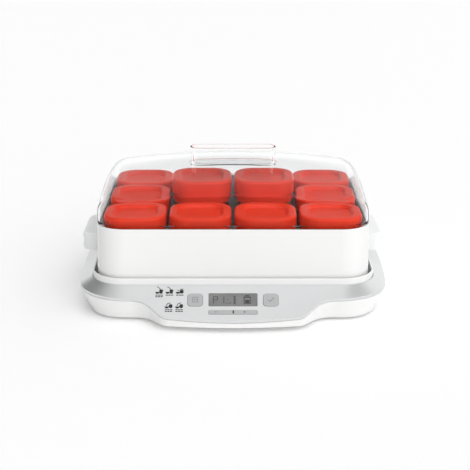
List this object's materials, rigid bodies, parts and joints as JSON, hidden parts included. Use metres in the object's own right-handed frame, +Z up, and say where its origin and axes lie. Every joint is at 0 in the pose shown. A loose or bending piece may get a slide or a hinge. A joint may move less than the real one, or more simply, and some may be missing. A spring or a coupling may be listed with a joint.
{
  "type": "yogurt maker",
  "caption": "Countertop yogurt maker: heated base with sloping control panel, lift-off tub, clear cover with grip, and glass jars with red caps and strainers.",
  "frame": {"origin": "bottom centre of the whole machine, on the table under the feet", "axes": "+X to the right along the front, +Y to the back, +Z up; the control panel faces -Y"},
  "size_m": [0.364, 0.3133, 0.1733],
  "materials": {
    "white_plastic": "glossy white",
    "silver_plastic": "silver lacquer",
    "soft_white_plastic": "translucent satin white",
    "clear_plastic": "clear",
    "red_plastic": "satin red",
    "jar_glass": "clear",
    "window": "grey display",
    "key_plastic": "satin silver grey",
    "heater_aluminium": "rolled",
    "heater_steel": "brushed",
    "shield_steel": "galvanised",
    "screw_steel": "zinc plated",
    "rubber": "matte grey",
    "board": "solder mask",
    "component": "moulded black",
    "copper_core": "varnished",
    "grey_plastic": "moulded grey"
  },
  "bodies": {
    "base": {"lower_housing": "white_plastic", "bottom_cover": "white_plastic", "feet": "rubber", "bottom_screws": "screw_steel", "deck": "silver_plastic", "deck_screws": "screw_steel", "recess_tray": "white_plastic", "heating_plate": "heater_aluminium", "heating_element": "heater_steel", "element_clips": "heater_steel", "heat_shield": "shield_steel", "thermal_fuse": "screw_steel", "temperature_sensor": "grey_plastic", "power_board": "board", "transformer": "copper_core", "relay": "component", "terminal_block": "grey_plastic", "control_board": "board", "board_screws": "screw_steel", "display_module": "component", "display_window": "window", "key_switches": "component", "inlet_gland": "grey_plastic"},
    "select_button": {"select_button": "key_plastic"},
    "ok_button": {"ok_button": "key_plastic"},
    "time_rocker": {"time_rocker": "key_plastic"},
    "tub": {"tub": "white_plastic", "left_handle": "soft_white_plastic", "right_handle": "soft_white_plastic", "handle_screws": "screw_steel", "jar_rack": "white_plastic"},
    "cover": {"cover": "clear_plastic", "cover_grip": "clear_plastic"},
    "jar_front_1": {"jar_front_1": "jar_glass"},
    "cap_front_1": {"cap_front_1": "red_plastic"},
    "jar_front_2": {"jar_front_2": "jar_glass"},
    "cap_front_2": {"cap_front_2": "red_plastic"},
    "jar_front_3": {"jar_front_3": "jar_glass"},
    "cap_front_3": {"cap_front_3": "red_plastic"},
    "jar_front_4": {"jar_front_4": "jar_glass"},
    "cap_front_4": {"cap_front_4": "red_plastic"},
    "jar_middle_1": {"jar_middle_1": "jar_glass"},
    "cap_middle_1": {"cap_middle_1": "red_plastic"},
    "jar_middle_2": {"jar_middle_2": "jar_glass"},
    "strainer_middle_2": {"strainer_middle_2": "red_plastic"},
    "cap_middle_2": {"cap_middle_2": "red_plastic"},
    "jar_middle_3": {"jar_middle_3": "jar_glass"},
    "strainer_middle_3": {"strainer_middle_3": "red_plastic"},
    "cap_middle_3": {"cap_middle_3": "red_plastic"},
    "jar_middle_4": {"jar_middle_4": "jar_glass"},
    "cap_middle_4": {"cap_middle_4": "red_plastic"},
    "jar_back_1": {"jar_back_1": "jar_glass"},
    "cap_back_1": {"cap_back_1": "red_plastic"},
    "jar_back_2": {"jar_back_2": "jar_glass"},
    "cap_back_2": {"cap_back_2": "red_plastic"},
    "jar_back_3": {"jar_back_3": "jar_glass"},
    "cap_back_3": {"cap_back_3": "red_plastic"},
    "jar_back_4": {"jar_back_4": "jar_glass"},
    "cap_back_4": {"cap_back_4": "red_plastic"}
  },
  "joints": [
    {"name": "select_button_press", "type": "slide", "parent": "base", "child": "select_button", "axis": [0, 0.5081, -0.8613], "range_m": [0, 0.0006], "stiffness_N_per_m": 900, "springref_m": -0.0002},
    {"name": "ok_button_press", "type": "slide", "parent": "base", "child": "ok_button", "axis": [0, 0.5081, -0.8613], "range_m": [0, 0.0006], "stiffness_N_per_m": 900, "springref_m": -0.0002},
    {"name": "time_rocker_tilt", "type": "hinge", "parent": "base", "child": "time_rocker", "pos_m": [0, -0.14211, 0.01449], "axis": [0, 0.8613, 0.5081], "range_deg": [-1.2, 1.2], "stiffness_Nm_per_rad": 0.6},
    {"name": "tub_lift", "type": "slide", "parent": "base", "child": "tub", "axis": [0, 0, 1], "range_m": [0, 0.06]},
    {"name": "cover_lift", "type": "slide", "parent": "tub", "child": "cover", "axis": [0, 0, 1], "range_m": [0, 0.08]},
    {"name": "jar_front_1_lift", "type": "slide", "parent": "tub", "child": "jar_front_1", "axis": [0, 0, 1], "range_m": [0, 0.008]},
    {"name": "cap_front_1_lift", "type": "slide", "parent": "jar_front_1", "child": "cap_front_1", "axis": [0, 0, 1], "range_m": [0, 0.008]},
    {"name": "jar_front_2_lift", "type": "slide", "parent": "tub", "child": "jar_front_2", "axis": [0, 0, 1], "range_m": [0, 0.012]},
    {"name": "cap_front_2_lift", "type": "slide", "parent": "jar_front_2", "child": "cap_front_2", "axis": [0, 0, 1], "range_m": [0, 0.012]},
    {"name": "jar_front_3_lift", "type": "slide", "parent": "tub", "child": "jar_front_3", "axis": [0, 0, 1], "range_m": [0, 0.012]},
    {"name": "cap_front_3_lift", "type": "slide", "parent": "jar_front_3", "child": "cap_front_3", "axis": [0, 0, 1], "range_m": [0, 0.012]},
    {"name": "jar_front_4_lift", "type": "slide", "parent": "tub", "child": "jar_front_4", "axis": [0, 0, 1], "range_m": [0, 0.008]},
    {"name": "cap_front_4_lift", "type": "slide", "parent": "jar_front_4", "child": "cap_front_4", "axis": [0, 0, 1], "range_m": [0, 0.008]},
    {"name": "jar_middle_1_lift", "type": "slide", "parent": "tub", "child": "jar_middle_1", "axis": [0, 0, 1], "range_m": [0, 0.012]},
    {"name": "cap_middle_1_lift", "type": "slide", "parent": "jar_middle_1", "child": "cap_middle_1", "axis": [0, 0, 1], "range_m": [0, 0.012]},
    {"name": "jar_middle_2_lift", "type": "slide", "parent": "tub", "child": "jar_middle_2", "axis": [0, 0, 1], "range_m": [0, 0.008]},
    {"name": "strainer_middle_2_lift", "type": "slide", "parent": "jar_middle_2", "child": "strainer_middle_2", "axis": [0, 0, 1], "range_m": [0, 0.008]},
    {"name": "cap_middle_2_lift", "type": "slide", "parent": "strainer_middle_2", "child": "cap_middle_2", "axis": [0, 0, 1], "range_m": [0, 0.008]},
    {"name": "jar_middle_3_lift", "type": "slide", "parent": "tub", "child": "jar_middle_3", "axis": [0, 0, 1], "range_m": [0, 0.008]},
    {"name": "strainer_middle_3_lift", "type": "slide", "parent": "jar_middle_3", "child": "strainer_middle_3", "axis": [0, 0, 1], "range_m": [0, 0.008]},
    {"name": "cap_middle_3_lift", "type": "slide", "parent": "strainer_middle_3", "child": "cap_middle_3", "axis": [0, 0, 1], "range_m": [0, 0.008]},
    {"name": "jar_middle_4_lift", "type": "slide", "parent": "tub", "child": "jar_middle_4", "axis": [0, 0, 1], "range_m": [0, 0.012]},
    {"name": "cap_middle_4_lift", "type": "slide", "parent": "jar_middle_4", "child": "cap_middle_4", "axis": [0, 0, 1], "range_m": [0, 0.012]},
    {"name": "jar_back_1_lift", "type": "slide", "parent": "tub", "child": "jar_back_1", "axis": [0, 0, 1], "range_m": [0, 0.008]},
    {"name": "cap_back_1_lift", "type": "slide", "parent": "jar_back_1", "child": "cap_back_1", "axis": [0, 0, 1], "range_m": [0, 0.008]},
    {"name": "jar_back_2_lift", "type": "slide", "parent": "tub", "child": "jar_back_2", "axis": [0, 0, 1], "range_m": [0, 0.012]},
    {"name": "cap_back_2_lift", "type": "slide", "parent": "jar_back_2", "child": "cap_back_2", "axis": [0, 0, 1], "range_m": [0, 0.012]},
    {"name": "jar_back_3_lift", "type": "slide", "parent": "tub", "child": "jar_back_3", "axis": [0, 0, 1], "range_m": [0, 0.012]},
    {"name": "cap_back_3_lift", "type": "slide", "parent": "jar_back_3", "child": "cap_back_3", "axis": [0, 0, 1], "range_m": [0, 0.012]},
    {"name": "jar_back_4_lift", "type": "slide", "parent": "tub", "child": "jar_back_4", "axis": [0, 0, 1], "range_m": [0, 0.008]},
    {"name": "cap_back_4_lift", "type": "slide", "parent": "jar_back_4", "child": "cap_back_4", "axis": [0, 0, 1], "range_m": [0, 0.008]}
  ]
}
